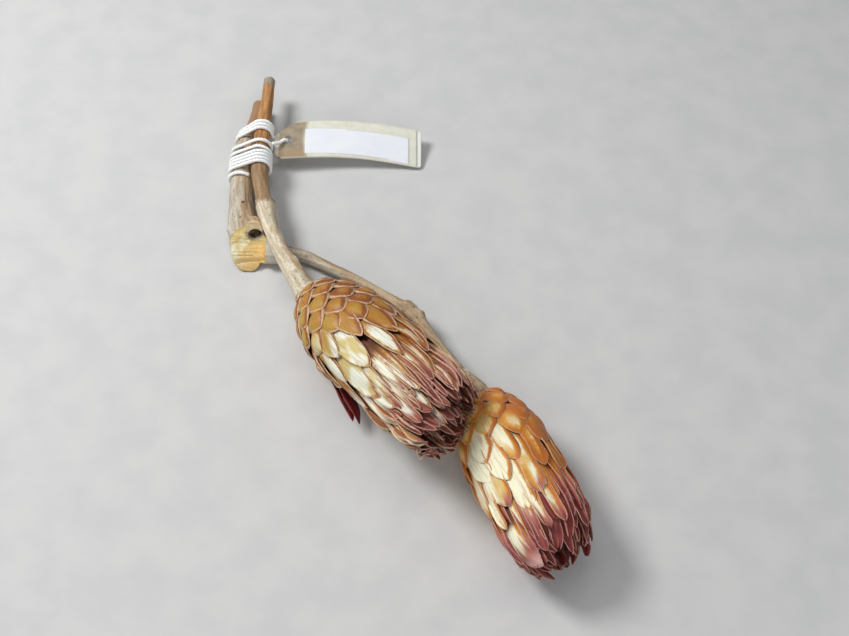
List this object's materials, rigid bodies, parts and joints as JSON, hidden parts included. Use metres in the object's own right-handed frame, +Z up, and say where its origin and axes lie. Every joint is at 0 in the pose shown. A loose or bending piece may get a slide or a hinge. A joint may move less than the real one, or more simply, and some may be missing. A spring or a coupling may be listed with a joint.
{
  "type": "dried limestone sugarbush flower",
  "caption": "Dried sugarbush stems with long overlapping-bract flower heads, tied with white string through a blank card tag, lying on a surface.",
  "frame": {"origin": "on the surface that the bunch lies on, under the middle of its bounding box", "axes": "+Z up from the surface, +Y towards the cut ends of the stems, -Y towards the flower heads, +X to the right when looking along +Y"},
  "size_m": [0.1519, 0.2544, 0.0521],
  "materials": {
    "upper_bracts": "matt dry bract, golden to cream with wine tips",
    "lower_bracts": "matt dry bract, golden to cream with wine tips",
    "upper_stem_bark": "matt bark",
    "branch_bark": "matt bark with a pale sawn face",
    "cotton_string": "matt twisted cotton",
    "tag_card": "uncoated card"
  },
  "bodies": {
    "root": {"flower_head_upper": "upper_bracts", "flower_head_lower": "lower_bracts", "stem_upper": "upper_stem_bark", "branch_lower": "branch_bark", "binding_string": "cotton_string", "tag": "tag_card"}
  },
  "joints": []
}
